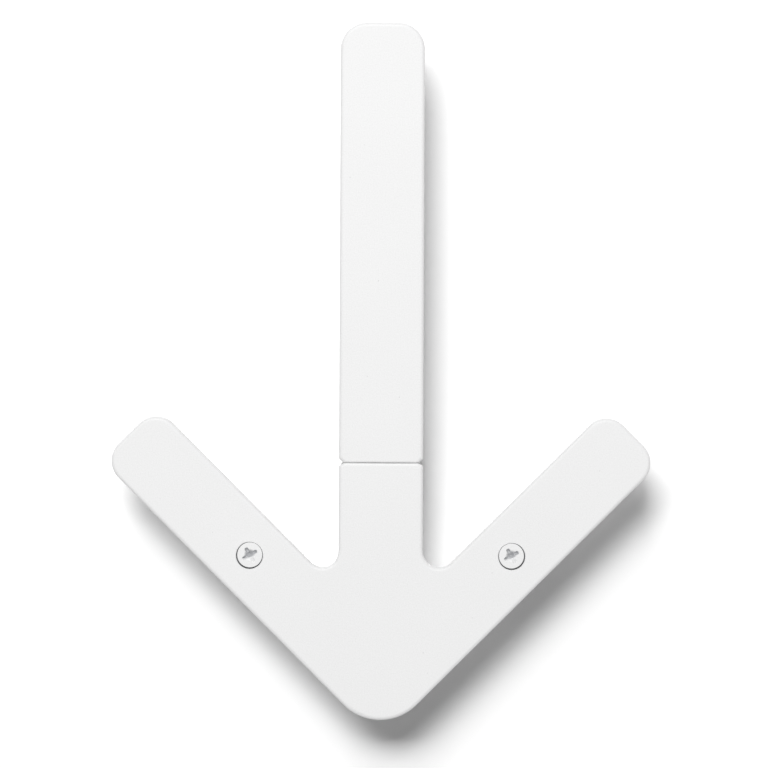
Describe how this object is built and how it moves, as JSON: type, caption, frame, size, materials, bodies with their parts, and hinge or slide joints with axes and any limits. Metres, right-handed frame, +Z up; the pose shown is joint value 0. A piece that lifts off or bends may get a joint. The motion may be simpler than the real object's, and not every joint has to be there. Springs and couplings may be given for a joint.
{
  "type": "folding arrow coat hook",
  "caption": "White wall coat hook in the form of an arrow that points down; its shaft folds out of the plane as the peg.",
  "frame": {"origin": "on the wall's surface, midway between the two wall screws", "axes": "+X to the viewer's right, +Y into the wall, +Z up; the front of the hook faces -Y"},
  "size_m": [0.2242, 0.0507, 0.29],
  "materials": {
    "white_coat_head": "satin white powder coat on cast aluminium",
    "white_coat_peg": "satin white powder coat on cast aluminium",
    "pin_steel": "ground steel",
    "spring_steel": "rolled spring steel",
    "white_screw": "white lacquered head on a zinc plated steel screw"
  },
  "bodies": {
    "head": {"arrowhead": "white_coat_head", "friction_washer_left": "spring_steel", "friction_washer_right": "spring_steel", "wall_screw_left": "white_screw", "wall_screw_right": "white_screw"},
    "peg": {"folding_peg": "white_coat_peg", "hinge_pin": "pin_steel"}
  },
  "joints": [
    {"name": "peg_fold", "type": "hinge", "parent": "head", "child": "peg", "pos_m": [0, -0.016, 0.0447], "axis": [1, 0, 0], "range_deg": [0, 55]}
  ]
}
